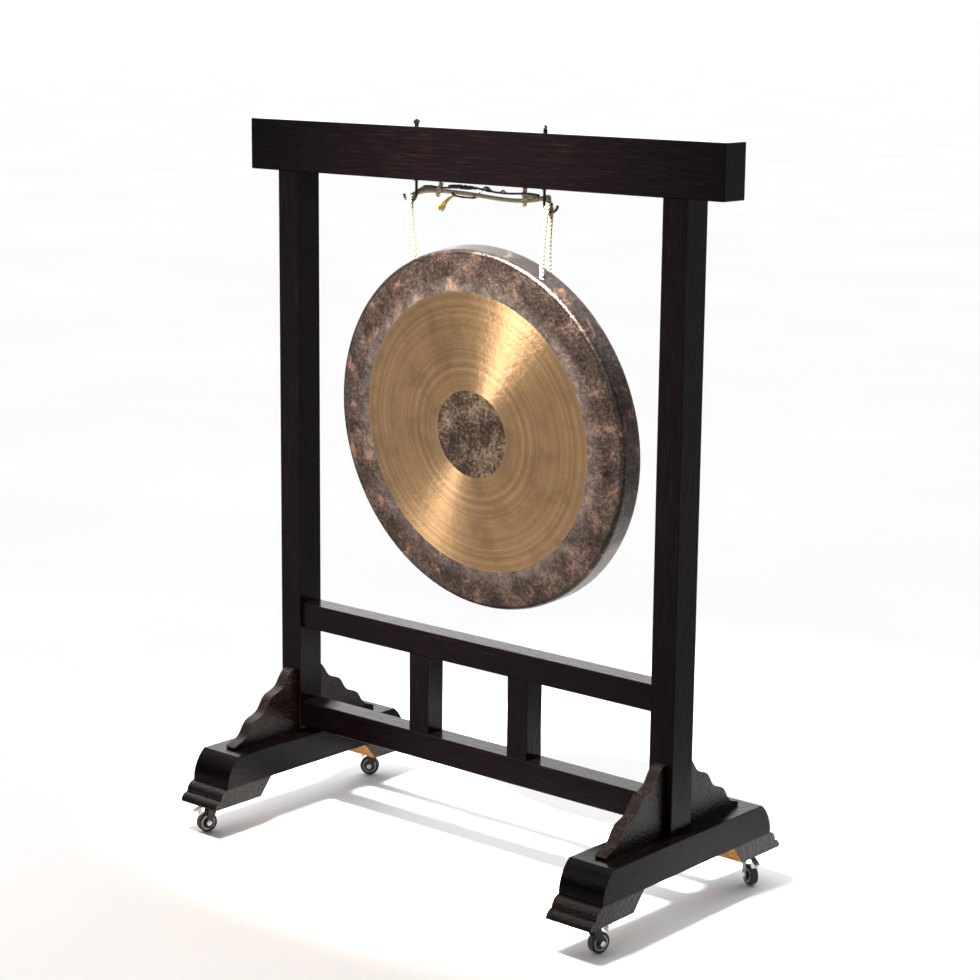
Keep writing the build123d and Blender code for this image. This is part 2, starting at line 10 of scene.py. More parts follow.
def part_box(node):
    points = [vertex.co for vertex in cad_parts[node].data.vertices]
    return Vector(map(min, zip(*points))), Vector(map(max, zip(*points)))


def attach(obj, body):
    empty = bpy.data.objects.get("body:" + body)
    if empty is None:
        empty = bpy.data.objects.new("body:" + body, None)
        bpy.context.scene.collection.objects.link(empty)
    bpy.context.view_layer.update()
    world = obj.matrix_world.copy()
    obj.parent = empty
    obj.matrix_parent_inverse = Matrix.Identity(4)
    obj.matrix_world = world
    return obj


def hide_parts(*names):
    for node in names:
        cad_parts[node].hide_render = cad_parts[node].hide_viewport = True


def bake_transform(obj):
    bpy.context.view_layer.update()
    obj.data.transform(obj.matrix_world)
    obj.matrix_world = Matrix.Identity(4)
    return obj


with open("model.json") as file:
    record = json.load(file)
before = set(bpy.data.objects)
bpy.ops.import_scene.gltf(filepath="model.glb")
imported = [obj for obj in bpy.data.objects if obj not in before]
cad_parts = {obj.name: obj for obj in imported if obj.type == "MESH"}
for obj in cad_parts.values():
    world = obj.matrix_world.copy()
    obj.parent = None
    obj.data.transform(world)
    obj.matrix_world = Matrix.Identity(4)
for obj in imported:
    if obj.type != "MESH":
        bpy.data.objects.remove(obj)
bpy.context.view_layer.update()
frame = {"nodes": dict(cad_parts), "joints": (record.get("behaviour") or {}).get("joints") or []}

# ---- timbers ------------------------------------------------------------------------------------
# The beam, posts, rails, stiles, feet, toe blocks and brackets are a close-grained hardwood, planed,
# mortised together, stained almost black and brushed with a gloss lacquer.


class Value:
    """A number, colour or vector somewhere in a finish, ready for sums."""

    def __init__(self, finish, socket):
        self.finish, self.socket = finish, socket

    def sum(self, operation, *terms):
        return self.finish.sum(operation, *terms)

    def __add__(self, other):
        return self.sum("ADD", self, other)

    def __radd__(self, other):
        return self.sum("ADD", other, self)

    def __sub__(self, other):
        return self.sum("SUBTRACT", self, other)

    def __rsub__(self, other):
        return self.sum("SUBTRACT", other, self)

    def __mul__(self, other):
        return self.sum("MULTIPLY", self, other)

    def __rmul__(self, other):
        return self.sum("MULTIPLY", other, self)

    def __truediv__(self, other):
        return self.sum("DIVIDE", self, other)

    def __pow__(self, other):
        return self.sum("POWER", self, other)

    def clear_of(self, low, high):
        """0 below low, 1 above high, and smooth between."""
        return self.finish.node("ShaderNodeMapRange", {"interpolation_type": "SMOOTHSTEP"},
                                {"Value": self, "From Min": low, "From Max": high})


class Finish:
    """One material and the nodes that give its colour, gloss and tooling marks."""

    def __init__(self, name):
        self.material = bpy.data.materials.new(name)
        self.material.use_nodes = True
        self.material.node_tree.nodes.clear()
        self.place = self.node("ShaderNodeTexCoord", out="Object")

    def node(self, kind, settings={}, sockets={}, out=0):
        made = self.material.node_tree.nodes.new(kind)
        for name, setting in settings.items():
            if name == "stops":
                while len(made.color_ramp.elements) < len(setting):
                    made.color_ramp.elements.new(0.5)
                for element, (position, colour) in zip(made.color_ramp.elements, setting):
                    element.position, element.color = position, (*colour, 1)
            else:
                setattr(made, name, setting)
        for name, given in sockets.items():
            if isinstance(given, Value):
                self.material.node_tree.links.new(given.socket, made.inputs[name])
            else:
                made.inputs[name].default_value = given
        return Value(self, made.outputs[out])

    def sum(self, operation, *terms):
        return self.node("ShaderNodeMath", {"operation": operation}, dict(enumerate(terms)))

    def mottle(self, scale, detail=3.0, rough=0.55, stretch=(1, 1, 1), twist=0.0):
        """Cloudy variation, scale times to the metre, drawn out along an axis."""
        at = self.node("ShaderNodeMapping", {}, {"Vector": self.place, "Scale": stretch})
        return self.node("ShaderNodeTexNoise", {}, {"Vector": at, "Scale": scale, "Detail": detail,
                                                    "Roughness": rough, "Distortion": twist}, "Fac")

    def ramp(self, value, *stops):
        return self.node("ShaderNodeValToRGB", {"stops": stops}, {"Fac": value}, "Color")

    def blend(self, share, first, second):
        mixed = self.node("ShaderNodeMix", {"data_type": "RGBA"}, {"Factor": share}, 2)
        node = mixed.socket.node
        for socket, given in ((6, first), (7, second)):
            if isinstance(given, Value):
                self.material.node_tree.links.new(given.socket, node.inputs[socket])
            else:
                node.inputs[socket].default_value = (*given, 1)
        return mixed

    def relief(self, height, depth, normal=None):
        sockets = {"Height": height, "Strength": 1.0, "Distance": depth}
        if normal:
            sockets["Normal"] = normal
        return self.node("ShaderNodeBump", {}, sockets, "Normal")

    def across(self, axis, middle=(0, 0, 0)):
        """Distance from a line through middle along axis."""
        arm = self.node("ShaderNodeVectorMath", {"operation": "SUBTRACT"},
                        {0: self.place, 1: middle}, "Vector")
        swept = self.node("ShaderNodeVectorMath", {"operation": "CROSS_PRODUCT"}, {0: arm, 1: axis}, "Vector")
        return self.node("ShaderNodeVectorMath", {"operation": "LENGTH"}, {0: swept}, "Value")

    def shell(self, **sockets):
        named = {name.replace("_", " ").title().replace("Ior", "IOR"): given
                 for name, given in sockets.items()}
        for name in ("Base Color", "Specular Tint", "Emission Color", "Coat Tint", "Sheen Tint"):
            if name in named and not isinstance(named[name], Value):
                named[name] = (*named[name], 1)
        body = self.node("ShaderNodeBsdfPrincipled", {}, named, "BSDF")
        out = self.material.node_tree.nodes.new("ShaderNodeOutputMaterial")
        self.material.node_tree.links.new(body.socket, out.inputs["Surface"])
        return self.material


def dress(material, *nodes):
    """Puts a finish on pieces that keep their shape."""
    for name in nodes:
        piece = frame["nodes"][name]
        for held in piece.material_slots:
            held.material = material
        if not piece.material_slots:
            piece.data.materials.append(material)


def lacquer(name, along):
    """Gloss lacquer over dark stain: the grain runs along that axis."""
    wood = Finish(name)
    stretch = [26, 26, 26]
    stretch[along] = 1.4
    grain = wood.mottle(9, 6, 0.62, stretch, 0.4)
    cloud = wood.mottle(5.5, 3, 0.5)
    stain = wood.ramp(grain, (0.32, (0.0007, 0.0004, 0.0005)), (0.52, (0.0013, 0.0007, 0.0008)),
                      (0.66, (0.0034, 0.0015, 0.0013)), (0.78, (0.0080, 0.0033, 0.0022)))
    colour = wood.blend(cloud.clear_of(0.35, 0.7) * 0.55, stain, (0.0008, 0.0005, 0.0006))
    brushed = wood.mottle(34, 2, 0.5, [1 if axis == along else 3.2 for axis in range(3)])
    pores = wood.mottle(60, 3, 0.7, stretch)
    worn = wood.mottle(210, 2, 0.5)
    normal = wood.relief(brushed + pores * 0.25, 0.0006)
    return wood.shell(base_color=colour, roughness=0.07 + cloud * 0.07 + worn * 0.03, normal=normal,
                      ior=1.145, specular_tint=(0.98, 0.90, 0.96))


corners = ("front_left", "front_right", "rear_left", "rear_right")
lengthwise = lacquer("lacquer_lengthwise", 0)
upright = lacquer("lacquer_upright", 2)
crosswise = lacquer("lacquer_crosswise", 1)
dress(lengthwise, "top_beam", "middle_rail", "bottom_rail")
dress(upright, "post_left", "post_right", "stile_left", "stile_right")
dress(crosswise, "foot_left", "foot_right")

# ---- toe blocks and brackets --------------------------------------------------------------------
# Moulded blocks glued under the feet, their slanted inner ends left bare, and sawn wavy brackets
# with a carved edge that the brush went over thickly.


def moulded(name, bare):
    """Lacquer pooled on mouldings, rubbed thin on the high parts; bare wood on the slanted ends."""
    wood = Finish(name)
    grain = wood.mottle(9, 6, 0.62, (26, 1.6, 26), 0.4)
    stain = wood.ramp(grain, (0.30, (0.0020, 0.0012, 0.0012)), (0.55, (0.0045, 0.0024, 0.0022)),
                      (0.78, (0.020, 0.009, 0.006)))
    rubbed = wood.mottle(85, 4, 0.65, (0.5, 1.2, 1.2)).clear_of(0.56, 0.74)
    colour = wood.blend(rubbed * 0.22, stain, (0.060, 0.024, 0.013))
    pooled = wood.mottle(70, 3, 0.6, (1, 2.2, 2.2))
    rough = 0.10 + wood.mottle(40, 2).clear_of(0.4, 0.75) * 0.12
    if bare:
        slant = 0.0335
        low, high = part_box("toe_block_rear_right")
        apart = wood.sum("ABSOLUTE", wood.node("ShaderNodeSeparateXYZ", {}, {"Vector": wood.place}, "Y"))
        rise = wood.node("ShaderNodeSeparateXYZ", {}, {"Vector": wood.place}, "Z")
        inner_end = low.y + (high.z - rise) * (slant / (high.z - low.z))
        end_grain = wood.mottle(160, 4, 0.6, (0.4, 1, 1))
        timber = wood.ramp(end_grain, (0.3, (0.20, 0.082, 0.018)), (0.6, (0.36, 0.165, 0.042)),
                           (0.8, (0.50, 0.26, 0.085)))
        sawn = 1 - (apart - inner_end).clear_of(0.0004, 0.0009)
        colour = wood.blend(sawn, colour, timber)
        rough = rough + sawn * 0.5
    return wood.shell(base_color=colour, roughness=rough, normal=wood.relief(pooled, 0.0016),
                      ior=1.24, specular_tint=(0.97, 0.90, 0.88))


dress(moulded("lacquer_toe_block", True), *["toe_block_" + corner for corner in corners])
dress(moulded("lacquer_bracket", False), *["bracket_" + corner for corner in corners])

# ---- gong ---------------------------------------------------------------------------------------
# One shell of beaten bronze: a slightly domed face, a deep rim turned back all round, two holes for
# the rope. A broad ring of the face is scraped bright on the lathe; the rest keeps its fire scale.
MM = 0.001
hinge = {joint["name"]: joint for joint in frame["joints"]}
lean = math.radians(5.62)
back = Vector((0, math.cos(lean), math.sin(lean)))
up = Vector((0, -math.sin(lean), math.cos(lean)))
rim_radius, rim_flare, rim_depth, face_wall, rim_wall = 397.0, 3.0, 54.0, 3.0, 4.0
crown, boss_radius, ring_radius = 18.0, 96.0, 308.8
hole_spacing, hole_setback, hole_diameter, hang_setback = 376.0, 18.0, 15.0, 36.0
hang_height = math.sqrt((rim_radius + rim_flare * hang_setback / rim_depth - rim_wall / 2) ** 2
                        - (hole_spacing / 2) ** 2)
middle = Vector(hinge["gong_tilt"]["pos_m"]) - back * hang_setback * MM - up * hang_height * MM
bowl = (rim_radius ** 2 + crown ** 2) / (2 * crown)


def face_height(radius):
    return crown - bowl + math.sqrt(bowl * bowl - radius * radius)


def spread(low, high, count):
    return [low + (high - low) * i / count for i in range(count)]


CENTRE, RING, BORDER, RIM, INSIDE = range(5)
rings = [(r, face_height(r), CENTRE) for r in spread(4, boss_radius, 14)]
rings += [(r, face_height(r), RING) for r in spread(boss_radius, ring_radius, 34)]
rings += [(r, face_height(r), BORDER) for r in spread(ring_radius, 385, 22)]
rings += [(387.4 + 10 * math.cos(a), -9.2 + 10 * math.sin(a), RIM)
          for a in [math.radians(88 - 12 * i) for i in range(8)]]
rings += [(rim_radius + rim_flare * -h / rim_depth, h, RIM) for h in spread(-9.5, -52.6, 12)]
rings += [(399.7, -53.2, RIM), (399.2, -53.9, RIM), (397.2, -53.9, RIM), (396.2, -53.0, RIM)]
rings += [(rim_radius - rim_wall + rim_flare * -h / rim_depth, h, INSIDE) for h in spread(-52, -9, 8)]
rings += [(393.2, -7, INSIDE), (392.2, -4.6, INSIDE), (390, -3.2, INSIDE)]
rings += [(r, face_height(r) - face_wall, INSIDE) for r in spread(386, 4, 30)]

turns = 256
dents = {CENTRE: 0.42, RING: 0.16, BORDER: 0.5, RIM: 0.0, INSIDE: 0.35}
shape = bmesh.new()
loops = []
for radius, height, zone in rings:
    loop = []
    for i in range(turns):
        angle = 2 * math.pi * i / turns
        x, y = radius * math.cos(angle), radius * math.sin(angle)
        at = Vector((x, y, height))
        blows = noise.noise(at / 34) + 0.6 * noise.noise(Vector((x, y, height + 90)) / 17)
        draw = 1
        if zone == RIM and radius > 394:
            draw = 1 - 0.0011 * (0.5 + 0.5 * noise.noise(at / 60))
        loop.append(shape.verts.new((x * draw * MM, y * draw * MM, (height + dents[zone] * blows) * MM)))
    loops.append(loop)
for (_, _, zone), first, second in zip(rings, loops, loops[1:]):
    for i in range(turns):
        j = (i + 1) % turns
        quad = shape.faces.new((first[i], second[i], second[j], first[j]))
        quad.material_index, quad.smooth = zone, True
shape.faces.new(loops[0]).material_index = CENTRE
shape.faces.new(list(reversed(loops[-1]))).material_index = INSIDE
bmesh.ops.recalc_face_normals(shape, faces=shape.faces)
mesh = bpy.data.meshes.new("gong_shell")
shape.to_mesh(mesh)
shape.free()


def bronze(name, zone):
    """Fire-scaled or scraped bronze. The gong's own axis is local Z, so distance from it is radius."""
    metal = Finish(name)
    radius = metal.across((0, 0, 1))
    if zone == RING:
        line = metal.node("ShaderNodeTexNoise", {"noise_dimensions": "1D"},
                          {"W": radius * 820, "Scale": 1.0, "Detail": 5.0, "Roughness": 0.75}, "Fac")
        band = metal.node("ShaderNodeTexNoise", {"noise_dimensions": "1D"},
                          {"W": radius * 95, "Scale": 1.0, "Detail": 2.0}, "Fac")
        stain = metal.mottle(16, 5, 0.62)
        speck = metal.mottle(230, 2, 0.6).clear_of(0.66, 0.74)
        gold = metal.ramp(line * 0.72 + band * 0.28, (0.32, (0.19, 0.108, 0.050)),
                          (0.5, (0.29, 0.175, 0.088)), (0.68, (0.42, 0.28, 0.155)))
        aged = metal.blend(stain.clear_of(0.44, 0.66) * 0.5, gold, (0.19, 0.108, 0.055))
        colour = metal.blend(speck * 0.75, aged, (0.16, 0.085, 0.042))
        normal = metal.relief(metal.mottle(55, 3, 0.6), 0.0016, metal.relief(line, 0.00012))
        return metal.shell(base_color=colour, metallic=1.0, roughness=0.23 + stain * 0.09 + line * 0.04,
                           anisotropic=0.86, anisotropic_rotation=0.25, normal=normal)
    cloud = metal.mottle(13, 6, 0.66, (1, 1, 1), 0.3)
    blotch = metal.mottle(30, 5, 0.7, (1, 1, 1), 0.6)
    pits = metal.mottle(150, 4, 0.7)
    dark, brown, pale = (0.016, 0.012, 0.012), (0.052, 0.034, 0.026), (0.125, 0.090, 0.074)
    if zone == CENTRE:
        dark, brown, pale = (0.010, 0.007, 0.006), (0.042, 0.028, 0.020), (0.130, 0.092, 0.064)
    if zone == RIM:
        dark, brown, pale = (0.006, 0.005, 0.006), (0.018, 0.013, 0.012), (0.050, 0.037, 0.033)
    colour = metal.ramp(cloud * 0.50 + pits * 0.50, (0.38, dark), (0.49, brown), (0.60, pale))
    copper = blotch.clear_of(0.52, 0.66) * cloud.clear_of(0.42, 0.58)
    if zone in (BORDER, RIM):
        near_ring = (1 - radius.clear_of(0.312, 0.350)) * blotch.clear_of(0.30, 0.62)
        colour = metal.blend(near_ring * 0.62 if zone == BORDER else 0.10, colour,
                             metal.ramp(blotch, (0.35, (0.125, 0.105, 0.092)), (0.7, (0.185, 0.155, 0.135))))
        colour = metal.blend(copper * 0.55, colour, (0.27, 0.135, 0.080))
    if zone == INSIDE:
        colour = metal.blend(copper * 0.5, colour, (0.25, 0.12, 0.06))
    shine = {CENTRE: 0.96, BORDER: 0.96, RIM: 0.97, INSIDE: 0.6}[zone]
    rough = {CENTRE: 0.36, BORDER: 0.36, RIM: 0.30, INSIDE: 0.55}[zone]
    normal = metal.relief(pits * 0.5 + blotch, 0.0011, metal.relief(cloud, 0.0022))
    return metal.shell(base_color=colour, metallic=shine - copper * 0.1, roughness=rough + pits * 0.16,
                       normal=normal)


for zone, name in enumerate(("bronze_centre", "bronze_ring", "bronze_border", "bronze_rim", "bronze_inside")):
    mesh.materials.append(bronze(name, zone))
gong = bpy.data.objects.new("gong_shell", mesh)
bpy.context.collection.objects.link(gong)

drill = bmesh.new()
for side in (-1, 1):
    outward = Vector((side * hole_spacing / 2, hang_height, 0)).normalized()
    seat = Matrix.Translation(outward * 0.397 + Vector((0, 0, -hole_setback * MM))) @ \
        outward.to_track_quat("Z", "Y").to_matrix().to_4x4()
    bmesh.ops.create_cone(drill, cap_ends=True, segments=40, radius1=hole_diameter / 2 * MM,
                          radius2=hole_diameter / 2 * MM, depth=0.03, matrix=seat)
drill_mesh = bpy.data.meshes.new("drill")
drill.to_mesh(drill_mesh)
drill.free()
drill_bit = bpy.data.objects.new("drill", drill_mesh)
bpy.context.collection.objects.link(drill_bit)
cut = gong.modifiers.new("rope holes", "BOOLEAN")
cut.operation, cut.solver, cut.object = "DIFFERENCE", "EXACT", drill_bit
bpy.context.view_layer.update()
drilled = bpy.data.meshes.new_from_object(gong.evaluated_get(bpy.context.evaluated_depsgraph_get()))
gong.modifiers.clear()
gong.data = drilled
bpy.data.objects.remove(drill_bit)

gong.matrix_world = Matrix.Translation(middle) @ Matrix((Vector((1, 0, 0)), up, -back)).transposed().to_4x4()
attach(gong, "gong")
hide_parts("gong")

# ---- hook bolts ---------------------------------------------------------------------------------
# Round steel rod, threaded at the top and bent to a hook below, put up through the beam: a wing nut
# above and a plain nut below, all painted black.


def black_iron(name, worn=0.0):
    iron = Finish(name)
    rust = iron.mottle(120, 4, 0.6).clear_of(0.52, 0.75)
    colour = iron.blend(rust, (0.010, 0.009, 0.010), (0.038 + worn, 0.024 + worn * 0.8, 0.020 + worn * 0.7))
    return iron.shell(base_color=colour, roughness=0.34 + rust * 0.25, metallic=0.55,
                      normal=iron.relief(iron.mottle(420, 3), 0.0003))


dress(black_iron("black_iron"), "hook_bolt_left", "hook_bolt_right", "hook_nuts", "wing_nuts")

# ---- sling rope ---------------------------------------------------------------------------------
# One length of three-strand straw-coloured rope. Each end is hitched near a hook. From there it goes
# over the hook, down, through a hole in the gong's rim and back up, and it runs between the hooks.


def laid_line(name, points):
    """The smooth line of a rope or cord through its route, in metres, as closely spaced points."""
    curve = bpy.data.curves.new(name, "CURVE")
    curve.dimensions = "3D"
    spline = curve.splines.new("NURBS")
    spline.points.add(len(points) - 1)
    for held, point in zip(spline.points, points):
        held.co = (*[c * MM for c in point], 1)
    spline.order_u, spline.use_endpoint_u, spline.resolution_u = 3, True, 12
    probe = bpy.data.objects.new(name, curve)
    bpy.context.collection.objects.link(probe)
    bpy.context.view_layer.update()
    line = bpy.data.meshes.new_from_object(probe.evaluated_get(bpy.context.evaluated_depsgraph_get()))
    found = [v.co.copy() for v in line.vertices]
    bpy.data.objects.remove(probe)
    return found


def evenly(line, step):
    """The same line at equal steps."""
    placed, travelled, due = [line[0]], 0.0, step
    for a, b in zip(line, line[1:]):
        run = (b - a).length
        while run > 1e-9 and travelled + run >= due:
            placed.append(a.lerp(b, (due - travelled) / run))
            due += step
        travelled += run
    return placed


def twist_up(shape, line, strands, rope_radius, pitch, strand_radius, sides=9):
    """Lays strands round a line as a ropewalk does, each a tube that winds along it."""
    heading = (line[1] - line[0]).normalized()
    side = heading.orthogonal().normalized()
    rings = [[] for _ in range(strands)]
    round_it = shape.loops.layers.uv.verify()
    along = 0.0
    for i, at in enumerate(line):
        ahead = (line[min(i + 1, len(line) - 1)] - line[max(i - 1, 0)]).normalized()
        side = (side - ahead * side.dot(ahead)).normalized()
        over = ahead.cross(side)
        if i:
            along += (at - line[i - 1]).length
        for s in range(strands):
            turn = 2 * math.pi * (s / strands + along / pitch)
            arm = side * math.cos(turn) + over * math.sin(turn)
            lie = over * math.cos(turn) - side * math.sin(turn)
            centre = at + arm * (rope_radius - strand_radius)
            slope = (ahead + lie * (2 * math.pi * (rope_radius - strand_radius) / pitch)).normalized()
            flat = slope.cross(arm).normalized()
            ring = []
            for k in range(sides):
                a = 2 * math.pi * k / sides
                out = (arm * math.cos(a) + flat * math.sin(a)) * strand_radius
                ring.append(shape.verts.new(centre + out))
            rings[s].append(ring)
    for tube in rings:
        for first, second in zip(tube, tube[1:]):
            for k in range(sides):
                after = (k + 1) % sides
                quad = shape.faces.new((first[k], first[after], second[after], second[k]))
                quad.smooth = True
                for corner, around in zip(quad.loops, (k, k + 1, k + 1, k)):
                    corner[round_it].uv = (around / sides, 0.5)
        shape.faces.new(list(reversed(tube[0])))
        shape.faces.new(tube[-1])


def made_of(shape, name, material):
    bmesh.ops.recalc_face_normals(shape, faces=shape.faces)
    mesh = bpy.data.meshes.new(name)
    shape.to_mesh(mesh)
    shape.free()
    piece = bpy.data.objects.new(name, mesh)
    bpy.context.collection.objects.link(piece)
    mesh.materials.append(material)
    return piece


def fibre(name, light, mid, shade, groove_shade, fleck=0.35):
    """Twisted vegetable fibre, fine hairs across the lay, paler where it is rubbed, and painted shade on the inner
    side of each strand where the strands meet.
    """
    straw = Finish(name)
    hair = straw.mottle(900, 3, 0.7, (1, 1, 0.35))
    cloud = straw.mottle(42, 4, 0.6)
    colour = straw.ramp(cloud * 0.45 + hair * 0.55, (0.34, shade), (0.5, mid), (0.64, light))
    speck = straw.mottle(300, 3, 0.6).clear_of(0.60, 0.72)
    # Painted shade: the inner side of each strand, where the strands press together, is blended towards the darkest
    # colour given, by position round the strand.
    lay = straw.node("ShaderNodeSeparateXYZ", {}, {"Vector": straw.node("ShaderNodeTexCoord", out="UV")}, "X")
    painted_groove_shade = (0.5 - straw.sum("ABSOLUTE", lay - 0.5)).clear_of(0.10, 0.23)
    colour = straw.blend(painted_groove_shade * 0.92, straw.blend(speck * fleck, colour, shade), groove_shade)
    return straw.shell(base_color=colour, roughness=0.86, sheen_weight=0.25, sheen_roughness=0.5,
                       normal=straw.relief(hair, 0.0009))


rope_route = [
    (-108, 3, 1482), (-110, 1.5, 1474), (-114, -0.5, 1466), (-118, 1.5, 1457.5), (-123, 10, 1453.5),
    (-129, 18, 1460), (-137, 17.5, 1468.5), (-152, 16, 1470.5), (-171, 15.5, 1467), (-188, 14.5, 1458),
    (-200, 12.5, 1445), (-203.5, 12, 1430), (-205, 13, 1405), (-204, 15.5, 1380), (-203, 19, 1350),
    (-198.5, 22.5, 1325), (-194, 25.5, 1307), (-190.5, 26, 1292), (-188.5, 8, 1289.5), (-188.3, -10, 1288.5),
    (-188.3, -19.2, 1289.5), (-188.2, -18, 1306), (-190.5, -17.2, 1325), (-189.5, -15.5, 1350), (-187.5, -14, 1380),
    (-186, -12.5, 1405), (-187.5, -11.5, 1430), (-191, -8.5, 1446), (-190.5, 0.5, 1452), (-181, 9, 1456.5),
    (-165, 10.2, 1461), (-147, 9.5, 1463), (-104, 9.2, 1464.5), (-56, 8.8, 1463), (-10, 9.4, 1460.5),
    (38, 9.2, 1457), (84, 8.9, 1455), (126, 9.2, 1457), (158, 9.6, 1461.5), (172, 11, 1467), (184, 8, 1468.5),
    (192.5, -2, 1461.5), (193.5, -11, 1446), (191.5, -13, 1420), (189.5, -15, 1385), (187.5, -16.5, 1345),
    (187.6, -18, 1306), (187.8, -19.2, 1289.5), (187.5, -10, 1288.5), (184, 8, 1289.5), (177, 26.3, 1292),
    (173, 26, 1308), (174, 22, 1345), (179, 16.5, 1385), (185, 12.5, 1420), (187.5, 12, 1442), (184, 14, 1455),
    (171, 17, 1461), (153, 18.5, 1463), (138, 14, 1468), (130, 3.5, 1467), (125, -2, 1457.5), (119, 6, 1447),
    (113, 17, 1450), (109, 19.5, 1459.5), (113, 12, 1468.5), (120, 3.5, 1470), (123.5, 2, 1477), (124, 3, 1484)]
rope_line = evenly(laid_line("rope_line", rope_route), 0.0016)
shape = bmesh.new()
twist_up(shape, rope_line, 3, 0.0051, 0.026, 0.00258)
straw = fibre("straw_rope", (0.56, 0.49, 0.35), (0.49, 0.40, 0.26), (0.33, 0.24, 0.13),
              (0.070, 0.036, 0.014), 0.16)
rope = made_of(shape, "sling_rope", straw)
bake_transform(rope)
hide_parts("rope_bridge", "rope_leg_left", "rope_leg_right", "rope_knot")

# ---- unlaid strand ------------------------------------------------------------------------------
# Where the rope was cut, one strand has come unlaid: a loose yellow brush of fibres hangs down.
tail_line = laid_line("tail_line", [(-72, 4.0, 1457), (-80, 1.6, 1453), (-90, 1.2, 1447), (-100, 0.8, 1438),
                                    (-106, 1, 1430), (-113, 1.5, 1425)])
chance = random.Random(7)
shape = bmesh.new()
for _ in range(170):
    turn, reach = chance.uniform(0, 2 * math.pi), chance.uniform(0, 1) ** 0.5
    stop = chance.uniform(0.72, 1.0)
    curl = chance.uniform(-0.9, 0.9)
    hair = []
    picked = tail_line[: max(4, int(len(tail_line) * stop))]
    for i, at in enumerate(picked):
        share = i / (len(tail_line) - 1)
        wide = (0.0016 + 0.0078 * share ** 1.4) * reach
        hair.append(at + Vector((math.cos(turn + curl * share) * wide * 0.8,
                                 math.sin(turn + curl * share) * wide,
                                 math.cos(turn + 1.3 + curl * share) * wide * 0.8)))
    thin = 0.00052
    twist_up(shape, hair, 1, thin * 1.02, 0.05, thin, sides=4)
yellow = fibre("loose_fibre", (0.60, 0.46, 0.13), (0.52, 0.35, 0.060), (0.38, 0.22, 0.03), (0.38, 0.22, 0.03), 0.2)
tail = made_of(shape, "loose_strand", yellow)
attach(tail, "stand")
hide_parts("rope_tail")
rope_length = sum((b - a).length for a, b in zip(rope_line, rope_line[1:]))

# ---- binding cord -------------------------------------------------------------------------------
# A thin dark brown cord laid along the top of the rope, with a tangle of the same stuff on the left
# and a few loops below and beside the rope.
cord_route = [(-165, 10.4, 1471), (-148, 4.5, 1473), (-131, -0.4, 1472.5), (-98, 0.4, 1471.5), (-67, 6, 1474.5),
              (-33, 9.8, 1476.5), (-1, 9.4, 1474), (29, 10.1, 1470), (61, 8.7, 1468.6), (91, 2.4, 1470),
              (123, -6.8, 1472.4), (146, -5.3, 1474), (171, -7.4, 1471.5)]
cord_line = evenly(laid_line("cord_line", cord_route), 0.0013)
shape = bmesh.new()
twist_up(shape, cord_line, 3, 0.0025, 0.0135, 0.0014, sides=7)
brown = fibre("dark_cord", (0.060, 0.034, 0.028), (0.026, 0.014, 0.012), (0.008, 0.0045, 0.004),
              (0.004, 0.002, 0.002), 0.5)
binding = made_of(shape, "binding_cord", brown)
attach(binding, "stand")
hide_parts("binding_cord")

shape = bmesh.new()
heart, spread_of = Vector((-46, -1, 1476.3)), Vector((38, 7.5, 6.3))
for _ in range(5):
    route, turn = [], chance.uniform(0, 6)
    count = 30
    for i in range(count):
        share = i / (count - 1)
        turn += chance.uniform(1.3, 2.6)
        swell = math.sin(math.pi * min(max(share, 0.10), 0.90)) ** 0.5
        route.append((heart.x + spread_of.x * (2 * share - 1) * 0.92 + chance.uniform(-5, 5),
                      heart.y + spread_of.y * swell * math.cos(turn) * chance.uniform(0.5, 1),
                      heart.z + spread_of.z * swell * math.sin(turn) * chance.uniform(0.6, 1)))
    twist_up(shape, evenly(laid_line("tangle_line", route), 0.0014), 2, 0.0021, 0.011, 0.00125, sides=6)
for route in (
        [(-84, 9, 1460), (-78, 7, 1456), (-69, 9, 1455.2), (-61, 11, 1454.6), (-53, 8.5, 1455.4), (-44, 10, 1454),
         (-36, 8, 1454.9), (-28, 9.5, 1453.4), (-20, 8, 1454.3), (-12, 9, 1456.4), (-5, 10, 1467)],
        [(-79, 4, 1463), (-72, 4, 1457), (-64, 8, 1455), (-55, 10, 1453.6), (-47, 8, 1453.8), (-38, 10, 1454.2),
         (-30, 8, 1453.2), (-22, 9, 1455.3), (-15, 4, 1463)],
        [(4, 6, 1471), (10, 2, 1476), (17, 0, 1480.5), (25, 2, 1479), (27, 6, 1472.5), (20, 7, 1469.5), (14, 3, 1473),
         (20, 0, 1478), (29, 1, 1475.5), (35, 5, 1470), (42, 8, 1468.5)],
        [(56, 5, 1471), (62, 3, 1476), (67, 4, 1473), (70, 6, 1468.5)]):
    twist_up(shape, evenly(laid_line("tangle_line", route), 0.0014), 2, 0.0021, 0.011, 0.00125, sides=6)
tangle = made_of(shape, "cord_tangle_loops", brown)
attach(tangle, "stand")
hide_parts("cord_tangle")

# ---- casters ------------------------------------------------------------------------------------
# Small furniture casters: a black pressed plate and fork, a black hub with a pale ring on each side,
# a rubber tyre, a bright axle bolt and nut, and a plated pedal that brakes the tyre.
dress(black_iron("caster_black", 0.01),
      *[part + corner for corner in corners for part in ("caster_plate_", "caster_fork_")])


def bright_zinc(name, tone=0.62):
    zinc = Finish(name)
    spangle = zinc.node("ShaderNodeTexVoronoi", {}, {"Vector": zinc.place, "Scale": 700.0}, "Distance")
    smear = zinc.mottle(180, 4, 0.6)
    colour = zinc.ramp(smear, (0.3, (tone * 0.55, tone * 0.52, tone * 0.48)),
                       (0.6, (tone, tone * 0.98, tone * 0.95)))
    return zinc.shell(base_color=colour, metallic=1.0, roughness=0.24 + spangle * 0.3,
                      normal=zinc.relief(smear, 0.0004))


dress(bright_zinc("bright_zinc"), "kingpins", "caster_screws",
      *[part + corner for corner in corners for part in ("axle_bolt_", "axle_nut_")])
dress(bright_zinc("pedal_plate", 0.40), *["brake_pedal_" + corner for corner in corners])

